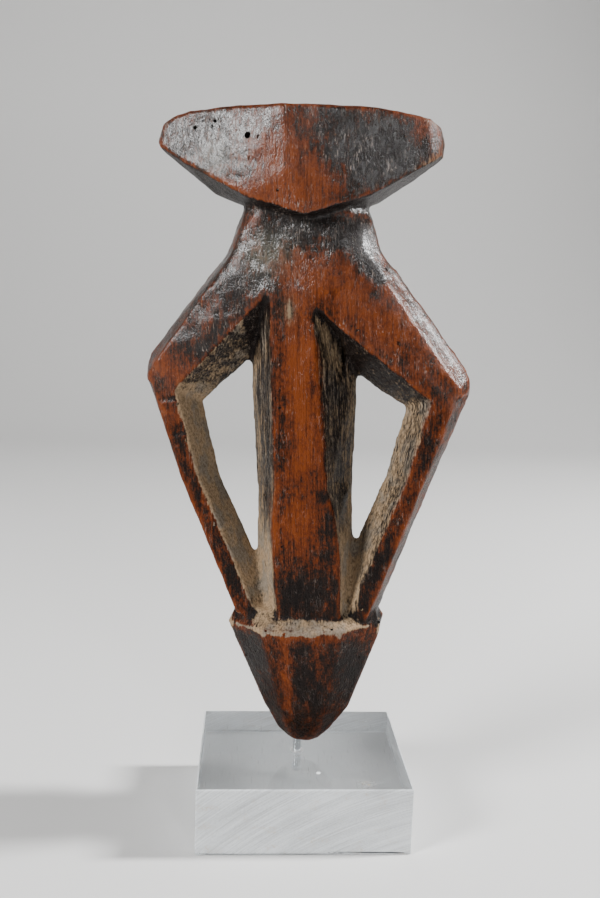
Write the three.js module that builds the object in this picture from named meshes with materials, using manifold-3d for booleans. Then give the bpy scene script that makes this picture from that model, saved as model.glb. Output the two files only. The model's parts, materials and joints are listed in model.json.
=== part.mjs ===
// A carved fertility doll standing on its display stand. Millimetres, +Z up, front towards -Y.
// The doll is one piece of hardwood: a boat-shaped head, arms akimbo round two open windows, a faceted
// torso column and a blunt inverted cone. A thin steel pin, held by a sleeve in a clear acrylic block,
// runs up into the cone and carries it.
import * as THREE from 'three';
import { ConvexGeometry } from 'three/addons/geometries/ConvexGeometry.js';
import { mergeVertices } from 'three/addons/utils/BufferGeometryUtils.js';
import Module from 'manifold-3d';

const wasm = await Module();
wasm.setup();

// ---- Stand -----------------------------------------------------------------------------------------
const blockWidth = 62;
const blockDepth = 50;
const blockHeight = 20;
const blockEdge = 0.4; // small bevel all round
const pinX = -1.4; // the pin stands a little off the middle of the block
const pinY = -2.2;
const pinDiameter = 2.4;
const pinEndBevel = 0.3;
const pinInDoll = 22;
const pinInBlock = 14.6;
const standGap = 4.9; // bare pin between the block and the doll
const runningClearance = 0.1; // round the pin, so that it turns and the doll lifts off
const endClearance = 0.3; // past each end of the pin
const sleeveWall = 0.35;
const sleeveLength = 6;
const flangeWidth = 0.4;
const flangeHeight = 0.35;
const fitClearance = 0.12; // between the sleeve and its hole in the block
const roundSides = 32;

// ---- Doll: how it stands ---------------------------------------------------------------------------
const dollTurn = -12; // degrees about the vertical: it faces a little to its right-hand side
const dollLean = -2.2; // degrees: it leans a little to the left
const tipOffset = 2.7; // the doll's own axis, to the right of the pin
const tipForward = 0.2;

// ---- Doll: cone and ledge --------------------------------------------------------------------------
const coneHeight = 37.8; // from the tip to the ledge's rim
const ledgeRise = 5; // the ledge climbs this much from its rim to the foot of the body
const tipHalfWidth = 4.6;
const tipHalfDepth = 3.6;
const tipShift = -0.8; // the tip's middle, off the doll's axis
const bluntRise = 3.4; // height of the blunting round the tip
const coneWaist = 11.4; // above this the cone's sides stand a little steeper
const coneWaistHalfWidth = 13;
const coneWaistHalfDepth = 8.6;
const rimHalfWidth = 23.4;
const rimFront = 14.6;
const rimBack = 13.4;
const rimTilt = 1.1; // the rim's right end stands this much above its middle, its left end as much below
const rimLift = 0.7; // the rim's two sides curl up this much
const ledgeTopWidth = 0.9; // the ledge's top, as a share of the rim's width
const ledgeTopDepth = 0.66; // and of its depth

// ---- Doll: body ------------------------------------------------------------------------------------
const forearmRise = 66.9; // foot of the body to the elbows
const upperArmRise = 46.5; // elbows to the neck
const shoulderDrop = 10.8; // neck down to where the shoulders slope out
const armpitDrop = 22.9; // neck down to the points of the armpits
const windowFoot = 17; // foot of the body to the bottom of the two windows
const footHalfWidth = 21.8;
const footInner = 13.2; // inner edge of a forearm's front face, at its foot
const shoulderHalfWidth = 22.6;
const neckHalfWidth = 16.8;
const neckShift = 1.6; // the neck stands a little to the right of the axis
const elbowHalfWidth = 46.9;
const elbowFace = 4.8; // height of the blunt face at each elbow
const forearmBow = 1.2; // each forearm's outline bows out this much
const chestFront = 12.8;
const chestBack = 10.8;
const neckFront = 10.4;
const neckBack = 9.4;
const elbowFront = 8.6;
const elbowBack = 7.8;
const footFront = 8.4;
const footBack = 9.4;
const armEdge = 4.6; // outer edge of an upper arm's front face, in from its outline
const forearmEdge = 2.6; // the same for a forearm
const torsoFront = 13;
const torsoBack = 11.8;
const torsoHalfWidth = 15.6;
const torsoFaceHalfWidth = 6.4;

// The two arms were cut by eye and differ: how far an elbow stands above the mean, the armpit's distance
// from the axis and height above the mean, how far the crook and the window's corner lie below the elbow,
// how far out they are, the window's edge and the face's inner edge half-way down the forearm, and how far
// the web between forearm and torso stands out at the foot of the window.
const leftArm = {
  side: -1,
  elbowUp: 2.1,
  armpitOut: 6.6,
  armpitUp: 1.8,
  crookDrop: 4.7,
  crookOut: 36,
  cornerDrop: 8.9,
  cornerOut: 30,
  windowEdge: 25.2,
  webOut: -0.4,
  faceEdge: 29.4,
};
const rightArm = {
  side: 1,
  elbowUp: -2.1,
  armpitOut: 2.8,
  armpitUp: -1.8,
  crookDrop: 3.5,
  crookOut: 36.8,
  cornerDrop: 6.1,
  cornerOut: 29,
  windowEdge: 23.1,
  webOut: 0,
  faceEdge: 29.8,
};

// ---- Doll: head ------------------------------------------------------------------------------------
const headHeight = 29; // chin to the crown's front edge
const crownDome = 1.1; // the crown rises this much behind its front edge
const chinDrop = 2.5; // the chin hangs this far below the neck
const headLeft = 41.2;
const headRight = 39.3;
const keelFront = 16.2;
const keelShift = -2.2;
const chinShift = 3.2;
const headBack = 13.4;
const headEndHalfDepth = 4.8;
const headEndFace = 7; // height of the blunt end faces

// Levels worked out from those sizes.
const footLevel = coneHeight + ledgeRise;
const elbowLevel = footLevel + forearmRise;
const neckLevel = elbowLevel + upperArmRise;
const shoulderLevel = neckLevel - shoulderDrop;
const armpitLevel = neckLevel - armpitDrop;
const chinLevel = neckLevel - chinDrop;
const crownLevel = chinLevel + headHeight;
const tipLevel = blockHeight + standGap;
const sunk = 2; // how far one carved mass runs on inside the next
const armRoot = 4; // each arm starts this far from the axis, inside the chest

// ---- Helpers ---------------------------------------------------------------------------------------
const point = (x, y, z) => new THREE.Vector3(x, y, z);
const mix = (a, b, t) => a + (b - a) * t;

function toSolid(geometry) {
  const bare = geometry.clone();
  bare.deleteAttribute('normal');
  bare.deleteAttribute('uv');
  const merged = mergeVertices(bare, 1e-4);
  return new wasm.Manifold(
    new wasm.Mesh({
      numProp: 3,
      vertProperties: new Float32Array(merged.attributes.position.array),
      triVerts: new Uint32Array(merged.index.array),
    }),
  );
}

function toGeometry(solid) {
  const mesh = solid.getMesh();
  const geometry = new THREE.BufferGeometry();
  geometry.setAttribute('position', new THREE.BufferAttribute(new Float32Array(mesh.vertProperties), 3));
  geometry.setIndex(new THREE.BufferAttribute(new Uint32Array(mesh.triVerts), 1));
  geometry.computeVertexNormals();
  return geometry;
}

const mass = (points) => toSolid(new ConvexGeometry(points));
const join = (solids) => solids.reduce((whole, next) => whole.add(next));

// A round solid on the pin's axis: its profile runs (radius, height) from the axis back to the axis.
function turned(profile) {
  const outline = profile.map(([radius, height]) => new THREE.Vector2(radius, height));
  const geometry = new THREE.LatheGeometry(outline, roundSides);
  geometry.rotateX(Math.PI / 2);
  geometry.translate(pinX, pinY, 0);
  return geometry;
}

// ---- Doll: its carved masses, in its own frame with its axis on Z and its tip at zero ---------------
// Cone and ledge: a faceted rim over a blunt oval tip, with a ledge that climbs to the body's foot.
function cone() {
  // Each corner of the rim: place across and along it, as shares of its sizes, and its share of the lift.
  const rim = [
    [-0.97, -0.34, 1],
    [-0.46, -0.93, 0.7],
    [-0.15, -1, 0],
    [0.12, -1, 0],
    [0.52, -0.92, 0.7],
    [1.02, -0.33, 0.8],
    [1, 0.3, 0],
    [0.5, 1, 0],
    [-0.5, 1, 0],
    [-0.96, 0.3, 0],
  ];
  const points = [];
  for (const [across, along, lift] of rim) {
    const rimDepth = along < 0 ? rimFront : rimBack;
    const ring = (halfWidth, halfDepth, level, shift = 0) =>
      points.push(point(shift + across * halfWidth, along * halfDepth, level));
    ring(rimHalfWidth, rimDepth, coneHeight + across * rimTilt + lift * rimLift);
    ring(rimHalfWidth * ledgeTopWidth, rimDepth * ledgeTopDepth, footLevel);
    ring(coneWaistHalfWidth, coneWaistHalfDepth, coneWaist);
    ring(tipHalfWidth + bluntRise, tipHalfDepth + bluntRise * 0.5, bluntRise, tipShift);
    ring(tipHalfWidth, tipHalfDepth, 0, tipShift);
  }
  return mass(points);
}

// Torso column: six-sided, widest at mid-depth. Each ring gives its level, how much wider its front face
// is than higher up, how far that face drifts to the right, and how much its sides and faces draw in.
function torso() {
  const rings = [
    [footLevel - sunk, 2.8, 2.7, 0.6, 2.2],
    [footLevel + windowFoot, 3.2, 2.4, 0.9, 0.7],
    [footLevel + windowFoot + 10, 2.6, 1.7, 1.3, 0.2],
    [footLevel + windowFoot + 21, 0.9, 0.9, 1.2, 0],
    [elbowLevel + 1, 0, -0.5, 0, 0],
    [armpitLevel, -0.6, -1.4, 0.6, 0.1],
    [mix(armpitLevel, neckLevel, 0.5), -0.8, -1.4, 3, 1.5],
  ];
  const sections = rings.map(([level, flare, drift, waist, shallow]) => {
    const face = torsoFaceHalfWidth + flare;
    const side = torsoHalfWidth - waist;
    return [
      point(drift - face, -torsoFront + shallow, level),
      point(drift + face, -torsoFront + shallow, level),
      point(side, 0.5, level),
      point(-side, 0.5, level),
      point(face, torsoBack - shallow, level),
      point(-face, torsoBack - shallow, level),
    ];
  });
  return join(sections.slice(1).map((section, i) => mass([...sections[i], ...section])));
}

// Chest and neck: the block that the arms grow from, running up into the head.
function chest() {
  const points = [];
  for (const side of [-1, 1]) {
    points.push(point(side * 9, -chestFront, armpitLevel));
    points.push(point(side * 9, chestBack, armpitLevel));
    points.push(point(side * (shoulderHalfWidth - armEdge), -neckFront + 0.6, shoulderLevel));
    points.push(point(side * (shoulderHalfWidth - armEdge), neckBack - 0.6, shoulderLevel));
    points.push(point(side * shoulderHalfWidth, 0, shoulderLevel));
    points.push(point(neckShift + side * (neckHalfWidth + 2.4), 0, mix(neckLevel, shoulderLevel, 0.6)));
    points.push(point(neckShift + side * (neckHalfWidth - armEdge), -neckFront, neckLevel));
    points.push(point(neckShift + side * (neckHalfWidth - armEdge), neckBack, neckLevel));
    points.push(point(neckShift + side * neckHalfWidth, 0, neckLevel));
    points.push(point(neckShift + side * (neckHalfWidth - 2), -neckFront * 0.6, neckLevel + 3 * sunk));
    points.push(point(neckShift + side * (neckHalfWidth - 2), neckBack * 0.6, neckLevel + 3 * sunk));
  }
  return mass(points);
}

// One arm: shoulder to elbow, then elbow to the foot of the body in two lengths.
function arm(shape) {
  const at = (x, y, z) => point(shape.side * x, y, z);
  const pair = (x, front, back, z) => [at(x, -front, z), at(x, back, z)];
  const reach = elbowHalfWidth + shape.side * 0.2;
  const elbow = elbowLevel + shape.elbowUp;
  const faceTop = elbow + elbowFace / 2;
  const faceFoot = elbow - elbowFace / 2;
  const crook = elbow - shape.crookDrop;
  const corner = elbow - shape.cornerDrop;
  const armpit = armpitLevel + shape.armpitUp;
  const rootLevel = mix(armpitLevel, shoulderLevel, 0.8);
  const upper = mass([
    ...pair(armRoot, mix(chestFront, neckFront, 0.55), mix(chestBack, neckBack, 0.55), rootLevel),
    ...pair(shoulderHalfWidth - armEdge, neckFront - 0.4, neckBack - 0.4, shoulderLevel),
    at(shoulderHalfWidth, 0, shoulderLevel),
    ...pair(reach - armEdge, elbowFront, elbowBack, faceTop),
    at(reach - 1.2, 0, faceTop + 3),
    at(reach, 0, faceTop),
    at(reach, 0, faceFoot),
    ...pair(reach - 2, elbowFront - 1.4, elbowBack - 1.4, faceFoot),
    ...pair(shape.crookOut, elbowFront + 0.4, elbowBack + 0.4, crook),
    at(shape.cornerOut, 0, corner),
    ...pair(shape.armpitOut, chestFront, chestBack, armpit),
    at(shape.armpitOut, 0, armpit - 12),
  ]);
  const elbowRing = [
    at(reach, 0, faceTop),
    at(reach, 0, faceFoot),
    ...pair(reach - forearmEdge, elbowFront - 0.6, elbowBack - 0.6, faceTop - 2),
    ...pair(shape.crookOut, elbowFront + 0.2, elbowBack + 0.2, crook),
    at(shape.cornerOut, 0, corner),
  ];
  const middle = mix(footLevel, elbowLevel, 0.57);
  const middleReach = mix(footHalfWidth, elbowHalfWidth, 0.57) + forearmBow;
  const middleFront = mix(footFront, elbowFront, 0.57);
  const middleBack = mix(footBack, elbowBack, 0.57);
  const middleRing = [
    at(middleReach, 0, middle),
    ...pair(middleReach - forearmEdge, middleFront, middleBack, middle),
    ...pair(shape.faceEdge, middleFront, middleBack, middle),
    at(shape.windowEdge, 0, middle),
  ];
  const footRing = [
    at(footHalfWidth, 0, footLevel - sunk),
    ...pair(footHalfWidth - forearmEdge, footFront, footBack, footLevel - sunk),
    ...pair(footInner, footFront, footBack, footLevel - sunk),
    at(shape.windowEdge - windowFoot + shape.webOut, 0, footLevel - sunk),
  ];
  return join([upper, mass([...elbowRing, ...middleRing]), mass([...middleRing, ...footRing])]);
}

// Head: a lens lying across the shoulders, keeled down the front, blunt at both ends.
function head() {
  // Its front edges, above and below: place along the head, depth and height, as shares of its sizes.
  const crown = [
    [-0.93, 0.22, 0.94],
    [-0.84, 0.31, 0.99],
    [-0.72, 0.4, 1.02],
    [-0.36, 0.68, 1.02],
    [0, 0.93, 0.99],
    [0.27, 0.77, 0.98],
    [0.55, 0.62, 0.96],
    [0.71, 0.49, 0.92],
    [0.9, 0.38, 0.865],
  ];
  const jaw = [
    [-0.96, 0.28, 0.72],
    [-0.77, 0.55, 0.54],
    [-0.42, 0.86, 0.27],
    [-0.31, 0.9, 0.18],
    [chinShift / headRight, 1, 0],
    [0.52, 0.84, 0.17],
    [0.73, 0.66, 0.33],
    [0.92, 0.4, 0.48],
  ];
  const points = [];
  for (const [edge, lift] of [[crown, 0.04], [jaw, 0.02]]) {
    for (const [along, depth, height] of edge) {
      const reach = along < 0 ? headLeft : headRight;
      const shift = edge === crown ? keelShift * (1 - Math.abs(along)) : 0;
      const x = along * reach + shift;
      points.push(point(x, -depth * keelFront, chinLevel + height * headHeight));
      points.push(point(x, depth * headBack, chinLevel + (height + lift) * headHeight));
    }
  }
  for (const along of [-0.6, 0, 0.5]) {
    points.push(point(along * headRight, 0, crownLevel + crownDome * (1 - along * along)));
  }
  points.push(point(keelShift, -keelFront, chinLevel + headHeight * 0.4));
  points.push(point(-0.6 * headLeft, 0, chinLevel + headHeight * 0.27));
  points.push(point(-0.83 * headLeft, 0, chinLevel + headHeight * 0.56));
  const leftEnd = crownLevel - headEndFace * 0.9;
  points.push(point(-headLeft, -1.5, leftEnd));
  points.push(point(-headLeft, 2, leftEnd));
  points.push(point(-headLeft + 0.8, 1.5, leftEnd + 2.6));
  points.push(point(-headLeft + 1.2, 0, leftEnd - 2.4));
  const rightTop = crownLevel - 5.4;
  for (const [inset, drop] of [[1, 0], [0, headEndFace * 0.5], [0.5, headEndFace]]) {
    points.push(point(headRight - inset, -1.5, rightTop - drop));
    points.push(point(headRight - inset, headEndHalfDepth, rightTop - drop));
  }
  for (const side of [-1, 1]) {
    points.push(point(neckShift + side * neckHalfWidth, -4, neckLevel + 1.4));
    points.push(point(neckShift + side * neckHalfWidth, 4, neckLevel + 1.4));
  }
  return mass(points);
}

// ---- The pieces ------------------------------------------------------------------------------------
const boreRadius = pinDiameter / 2 + runningClearance;
const pinFloor = blockHeight - pinInBlock;
const pinTop = tipLevel + pinInDoll;
const sleeveRadius = boreRadius + sleeveWall;
const socketRadius = sleeveRadius + fitClearance;

const dollPlace = new THREE.Object3D();
dollPlace.position.set(pinX + tipOffset, pinY + tipForward, tipLevel);
dollPlace.rotation.set(0, THREE.MathUtils.degToRad(dollLean), THREE.MathUtils.degToRad(dollTurn), 'YXZ');
dollPlace.updateMatrixWorld(true);

// The bore stands upright while the carving leans, so it is cut in the stand's frame.
const bore = turned([
  [0, tipLevel - 6],
  [boreRadius, tipLevel - 6],
  [boreRadius, pinTop + endClearance],
  [0, pinTop + endClearance],
]).applyMatrix4(dollPlace.matrixWorld.clone().invert());

const doll = join([cone(), torso(), chest(), arm(leftArm), arm(rightArm), head()]).subtract(toSolid(bore));

const pin = turned([
  [0, pinFloor],
  [pinDiameter / 2 - pinEndBevel, pinFloor],
  [pinDiameter / 2, pinFloor + pinEndBevel],
  [pinDiameter / 2, pinTop - pinEndBevel],
  [pinDiameter / 2 - pinEndBevel, pinTop],
  [0, pinTop],
]);

const flangeTop = blockHeight + fitClearance + flangeHeight;
const sleeve = turned([
  [boreRadius, blockHeight - sleeveLength],
  [sleeveRadius, blockHeight - sleeveLength],
  [sleeveRadius, blockHeight + fitClearance],
  [sleeveRadius + flangeWidth, blockHeight + fitClearance],
  [sleeveRadius + flangeWidth, flangeTop],
  [boreRadius, flangeTop],
  [boreRadius, blockHeight - sleeveLength],
]);

const socket = turned([
  [0, pinFloor - endClearance],
  [boreRadius, pinFloor - endClearance],
  [boreRadius, blockHeight - sleeveLength - fitClearance],
  [socketRadius, blockHeight - sleeveLength - fitClearance],
  [socketRadius, blockHeight + 1],
  [0, blockHeight + 1],
]);

const blockOutline = new THREE.Shape([
  new THREE.Vector2(-blockWidth / 2 + blockEdge, -blockDepth / 2 + blockEdge),
  new THREE.Vector2(blockWidth / 2 - blockEdge, -blockDepth / 2 + blockEdge),
  new THREE.Vector2(blockWidth / 2 - blockEdge, blockDepth / 2 - blockEdge),
  new THREE.Vector2(-blockWidth / 2 + blockEdge, blockDepth / 2 - blockEdge),
]);
const blockGeometry = new THREE.ExtrudeGeometry(blockOutline, {
  depth: blockHeight - 2 * blockEdge,
  bevelEnabled: true,
  bevelThickness: blockEdge,
  bevelSize: blockEdge,
  bevelSegments: 1,
});
blockGeometry.translate(0, 0, blockEdge);
const block = toSolid(blockGeometry).subtract(toSolid(socket));

const finishes = {
  wood: new THREE.MeshStandardMaterial({ color: 0x6e3a1f, roughness: 0.45, metalness: 0 }),
  steel: new THREE.MeshStandardMaterial({ color: 0xc4c6c8, roughness: 0.28, metalness: 1 }),
  plated: new THREE.MeshStandardMaterial({ color: 0xdcdcda, roughness: 0.2, metalness: 1 }),
  acrylic: new THREE.MeshStandardMaterial({ color: 0xdfe2e4, roughness: 0.15, metalness: 0 }),
};

const group = new THREE.Group();
function place(name, geometry, finish) {
  const mesh = new THREE.Mesh(geometry, finish);
  mesh.name = name;
  group.add(mesh);
  return mesh;
}

place('base_block', toGeometry(block), finishes.acrylic);
place('pin_sleeve', toGeometry(toSolid(sleeve)), finishes.plated);
place('mount_pin', toGeometry(toSolid(pin)), finishes.steel);
const dollMesh = place('doll', toGeometry(doll), finishes.wood);
dollMesh.position.copy(dollPlace.position);
dollMesh.rotation.copy(dollPlace.rotation);

export default group;
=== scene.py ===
# %% [markdown]
# # A carved fertility doll on its display stand
# The doll is one piece of hardwood: a boat-shaped head, arms akimbo round two open windows, a faceted
# torso column and a blunt cone. It stands on a steel pin that a clear acrylic block holds.
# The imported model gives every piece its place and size. This lesson gives the pieces their surfaces.

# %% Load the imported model
import json
import math

import bmesh
import bpy
import numpy as np
from mathutils import Matrix, Vector
from mathutils.bvhtree import BVHTree


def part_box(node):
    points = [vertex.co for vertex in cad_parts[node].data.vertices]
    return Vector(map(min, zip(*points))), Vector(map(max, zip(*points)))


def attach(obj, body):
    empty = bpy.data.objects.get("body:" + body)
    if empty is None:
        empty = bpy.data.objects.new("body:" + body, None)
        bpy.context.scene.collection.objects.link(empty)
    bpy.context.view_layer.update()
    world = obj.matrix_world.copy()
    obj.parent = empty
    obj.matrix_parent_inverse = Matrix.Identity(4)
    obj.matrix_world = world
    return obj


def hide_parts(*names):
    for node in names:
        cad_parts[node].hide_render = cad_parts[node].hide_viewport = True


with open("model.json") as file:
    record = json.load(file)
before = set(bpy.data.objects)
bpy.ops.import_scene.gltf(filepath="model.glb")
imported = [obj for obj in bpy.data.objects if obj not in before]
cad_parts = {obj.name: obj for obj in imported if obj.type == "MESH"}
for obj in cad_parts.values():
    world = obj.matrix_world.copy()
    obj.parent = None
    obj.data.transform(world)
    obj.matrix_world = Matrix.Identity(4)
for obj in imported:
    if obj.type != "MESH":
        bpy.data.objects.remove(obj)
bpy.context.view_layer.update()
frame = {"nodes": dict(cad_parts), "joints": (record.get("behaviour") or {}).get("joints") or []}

MM = 0.001

# %% [markdown]
# ## The camera
# A small carving is looked at from close by, through a slightly wide lens, so its block is seen from above
# while its head is seen from just below. The camera stands in front, a little to the left of the pin.
# A 35 mm lens on an upright 24 x 36 mm frame gives that view; close perspective can't be had by zooming.

# %% Place the camera
CAMERA_AT = Vector((-18.3, -253.4, 152.7)) * MM
CAMERA_PAN, CAMERA_TILT, CAMERA_ROLL = (math.radians(a) for a in (-3.41, -8.75, -1.82))

lens = bpy.data.cameras.new("view_camera")
lens.lens = 35.0
lens.sensor_fit = "VERTICAL"
lens.sensor_height = 36.0
lens.clip_start = 0.01
camera = bpy.data.objects.new("view_camera", lens)
bpy.context.collection.objects.link(camera)
level = Matrix.Rotation(math.radians(90), 3, "X")
swing = Matrix.Rotation(CAMERA_PAN, 3, "Z") @ Matrix.Rotation(CAMERA_TILT, 3, "X")
turn_over = Matrix.Rotation(CAMERA_ROLL, 3, "Y")
camera.matrix_world = Matrix.Translation(CAMERA_AT) @ (swing @ turn_over @ level).to_4x4()
bpy.context.scene.camera = camera
print("camera stands", round(CAMERA_AT.length, 3), "m from the block")

# %% [markdown]
# ## The doll's own frame
# The carving is turned a little about its pin and leans slightly. Marks such as the worn front of the torso
# are easiest to place in the doll's own frame: its axis upright, its tip at zero, its front facing -Y.

# %% The way into and out of the doll's frame
DOLL_TURN, DOLL_LEAN = math.radians(-12.0), math.radians(-2.2)
TIP_FROM_PIN = Vector((2.7, 0.2, 0.0)) * MM

TIP_HEIGHT = 24.9 * MM

pin_axis = Vector(next(j["pos_m"] for j in frame["joints"] if j["name"] == "pin_turn"))
doll_stands = Matrix.Rotation(DOLL_LEAN, 4, "Y") @ Matrix.Rotation(DOLL_TURN, 4, "Z")
doll_tip = Vector((pin_axis.x + TIP_FROM_PIN.x, pin_axis.y + TIP_FROM_PIN.y, TIP_HEIGHT))
doll_place = Matrix.Translation(doll_tip) @ doll_stands
doll_back = doll_stands.to_3x3() @ Vector((0.0, 1.0, 0.0))
into_doll = doll_place.inverted()
print("doll's tip stands at", [round(v / MM, 1) for v in doll_place.translation], "mm")


def doll_coordinates(points):
    """Turns an array of points in metres into millimetres in the doll's own frame."""
    matrix = np.array(into_doll)
    return (points @ matrix[:3, :3].T + matrix[:3, 3]) / MM


def doll_facing(normals):
    """Turns an array of directions into the doll's own frame."""
    return normals @ np.array(into_doll)[:3, :3].T


# %% Small helpers that the pieces share
def new_piece(name, mesh):
    piece = bpy.data.objects.new(name, mesh)
    bpy.context.collection.objects.link(piece)
    return piece


def piece_from(form, name):
    """Writes a form to a mesh and makes a piece of it."""
    mesh = bpy.data.meshes.new(name)
    form.to_mesh(mesh)
    form.free()
    return new_piece(name, mesh)


def settle(piece):
    """Turns a piece's modifiers into a plain mesh, so that nothing live is left on it."""
    bpy.context.view_layer.update()
    ready = piece.evaluated_get(bpy.context.evaluated_depsgraph_get())
    mesh = bpy.data.meshes.new_from_object(ready)
    piece.modifiers.clear()
    piece.data = mesh


def triangles(piece):
    return sum(len(face.vertices) - 2 for face in piece.data.polygons)


def mesh_points(mesh):
    points = np.empty(len(mesh.vertices) * 3)
    mesh.vertices.foreach_get("co", points)
    return points.reshape(-1, 3)


def mesh_normals(mesh):
    normals = np.empty(len(mesh.vertices) * 3)
    mesh.vertex_normals.foreach_get("vector", normals)
    return normals.reshape(-1, 3)


def move_points(mesh, points):
    mesh.vertices.foreach_set("co", points.ravel())
    mesh.update()


# %% [markdown]
# ## The carved body
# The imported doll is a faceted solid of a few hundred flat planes, like the blank that a carver has roughed
# out with an adze. A knife and years of handling then round every edge. A subdivision surface would pull
# the planes out of shape, so the blank is rebuilt as an even skin of small squares, a voxel remesh, which
# can be rubbed down by moving its points. The pin's bore is plugged first and drilled again at the end,
# because a hole so narrow would turn ragged.

# %% Tools for plugging, joining and cutting
SKIN_CELL = 0.68 * MM
PIN_BORE = 1.3 * MM
BORE_DEPTH = 22.3 * MM
SAME_POINT = 0.002 * MM
PLUG_WIDER, PLUG_BELOW, PLUG_ABOVE = 0.3 * MM, 0.6 * MM, 1.5 * MM


def pin_rod(name, radius, bottom, top):
    """A plain rod on the pin's axis, for plugging and drilling."""
    form = bmesh.new()
    middle = Matrix.Translation((pin_axis.x, pin_axis.y, (bottom + top) / 2))
    bmesh.ops.create_cone(form, cap_ends=True, segments=48, radius1=radius, radius2=radius,
                          depth=top - bottom, matrix=middle)
    return piece_from(form, name)


def open_edges(mesh):
    """How many edges don't have exactly two faces: 0 means a closed body."""
    form = bmesh.new()
    form.from_mesh(mesh)
    count = sum(not edge.is_manifold for edge in form.edges)
    form.free()
    return count


def join_or_cut(piece, tool, operation):
    """Joins a tool to a piece or cuts it out. The faces it leaves take the piece's first material."""
    tool.data.materials.clear()
    if piece.data.materials:
        tool.data.materials.append(piece.data.materials[0])
    change = piece.modifiers.new("tool", "BOOLEAN")
    change.operation = operation
    change.solver = "MANIFOLD"
    change.object = tool
    settle(piece)
    bpy.data.objects.remove(tool)
    print(piece.name, operation.lower(), "- open edges:", open_edges(piece.data))


# %% Rebuild the blank as an even skin
blank = frame["nodes"]["doll"].data.copy()
form = bmesh.new()
form.from_mesh(blank)
bmesh.ops.remove_doubles(form, verts=form.verts, dist=SAME_POINT)
form.to_mesh(blank)
form.free()
blank.materials.clear()
doll = new_piece("carved_doll", blank)
doll_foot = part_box("doll")[0][2]
plug = pin_rod("plug", PIN_BORE + PLUG_WIDER, doll_foot + PLUG_BELOW, TIP_HEIGHT + BORE_DEPTH + PLUG_ABOVE)
join_or_cut(doll, plug, "UNION")

skin = doll.modifiers.new("skin", "REMESH")
skin.mode = "VOXEL"
skin.voxel_size = SKIN_CELL
settle(doll)
print("skin:", len(doll.data.vertices), "points,", triangles(doll), "triangles")

# %% [markdown]
# ## Rubbing down
# Hands and a knife take the corners off a carving, most of all where they stick out. Moving every point a
# little towards the middle of its neighbours, again and again, does the same. A strength for each point
# keeps the rim of the ledge and the edge of the jaw crisp, and melts the arms into the chest.
# Two planes are eased first, because rubbing can't move them far enough: the front of the right arm slopes
# back towards its outer edge, and the torso's right edge is taken off just below the armpit.
# All the places in these cells are millimetres in the doll's own frame.

# %% Tools for rubbing
def edge_pairs(mesh):
    pairs = np.empty(len(mesh.edges) * 2, dtype=np.int64)
    mesh.edges.foreach_get("vertices", pairs)
    return pairs.reshape(-1, 2)


def neighbour_mean(values, pairs):
    """The mean of each point's neighbours, for one or more values a point."""
    starts, ends = pairs.T
    count = np.bincount(starts, minlength=len(values)) + np.bincount(ends, minlength=len(values))
    columns = []
    for column in values.reshape(len(values), -1).T:
        total = np.bincount(starts, column[ends], len(values))
        total += np.bincount(ends, column[starts], len(values))
        columns.append(total / count)
    return np.stack(columns, axis=1).reshape(values.shape)


def rub(points, pairs, strength, passes, swell=0.0):
    """Draws points towards their neighbours. Swelling them back a little each time rounds the edges only,
    and keeps the size of the whole."""
    for _ in range(passes):
        points = points + strength[:, None] * (neighbour_mean(points, pairs) - points)
        if swell:
            points = points - swell * strength[:, None] * (neighbour_mean(points, pairs) - points)
    return points


# %% Tools for picking out places on the doll
def soft_step(value, low, high):
    share = np.clip((value - low) / (high - low), 0.0, 1.0)
    return share * share * (3.0 - 2.0 * share)


def spot(x, z, at_x, at_z, wide, high):
    """1 in the middle of an oval patch on the doll's front or back, fading to 0 round it."""
    return np.exp(-(((x - at_x) / wide) ** 2) - ((z - at_z) / high) ** 2)


ARMPIT_TOP, ARMPIT_SLANT, ARMPIT_CUT = (2.9, 131.1), 0.3, 0.95
SHOULDER_TOP, ELBOW = (19.0, 152.0), (46.5, 113.0)
SLOPE_WIDTH, SLOPE_DEPTH = 9.0, 2.4


def edge_distance(x, z):
    """How far inside the right arm's outer edge a point lies. The edge runs from shoulder to elbow."""
    run, fall = ELBOW[0] - SHOULDER_TOP[0], ELBOW[1] - SHOULDER_TOP[1]
    return ((x - SHOULDER_TOP[0]) * fall - (z - SHOULDER_TOP[1]) * run) / math.hypot(run, fall)


def push_back(points, share):
    return points + np.array(doll_back) * (share * MM)[:, None]


def ease_shoulder(points):
    """Slopes the front of the right arm back towards its outer edge."""
    x, y, z = doll_coordinates(points).T
    share = np.clip(1 - edge_distance(x, z) / SLOPE_WIDTH, 0.0, 1.0) ** 1.5
    share *= (x > 5) * soft_step(-y, 1.0, 6.0) * soft_step(z, 106.0, 114.0) * (1 - soft_step(z, 151.0, 155.0))
    return push_back(points, share * SLOPE_DEPTH)


def sharpen_armpit(points):
    """Takes the right edge off the torso's front just below the arm, so that the window's top comes to a
    point nearer the middle."""
    x, y, z = doll_coordinates(points).T
    beyond = np.clip(x - (ARMPIT_TOP[0] + (ARMPIT_TOP[1] - z) * ARMPIT_SLANT), 0.0, 3.4) * (x < 12)
    below_arm = soft_step(ARMPIT_TOP[1] - 0.9 * (x - ARMPIT_TOP[0]) - z, -0.2, 1.2)
    share = beyond * below_arm * soft_step(z, 108.0, 118.0) * soft_step(-y, 2.0, 5.0)
    return push_back(points, share * ARMPIT_CUT)


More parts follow.
